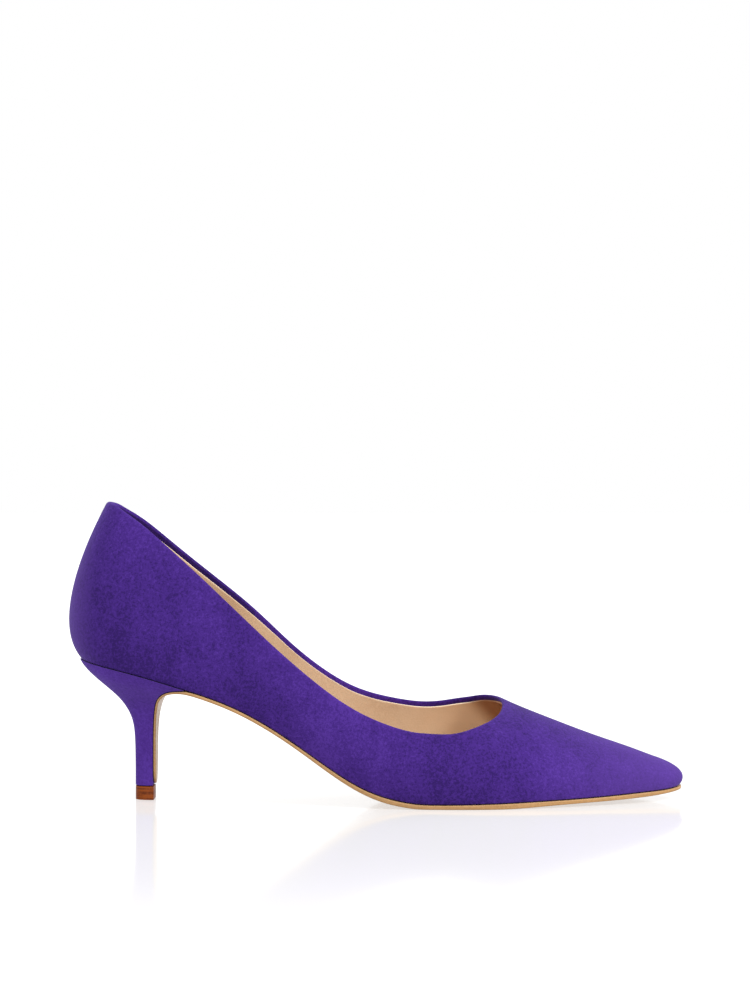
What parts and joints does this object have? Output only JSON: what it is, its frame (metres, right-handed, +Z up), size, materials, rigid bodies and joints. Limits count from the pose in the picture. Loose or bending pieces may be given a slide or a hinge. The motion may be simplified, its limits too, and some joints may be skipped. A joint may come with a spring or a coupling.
{
  "type": "kitten heel pump",
  "caption": "Right women's pump with an almond-pointed toe, a low-cut rounded throat, a slender kitten heel and a thin outsole that runs down the breast of the heel.",
  "frame": {"origin": "middle of the bounding box, on the plane of the floor that the shoe stands on", "axes": "+X towards the toe, +Y towards the inner (medial) side of the foot, +Z up"},
  "size_m": [0.2584, 0.0746, 0.1251],
  "materials": {
    "upper": "napped purple suede, lined with smooth tan leather",
    "insole": "smooth tan leather sock",
    "outsole": "ochre edge, satin",
    "heel": "plastic heel covered in purple suede",
    "heel_tip": "hard brown rubber, satin"
  },
  "bodies": {
    "root": {"upper": "upper", "insole": "insole", "outsole": "outsole", "heel": "heel", "heel_tip": "heel_tip"}
  },
  "joints": []
}
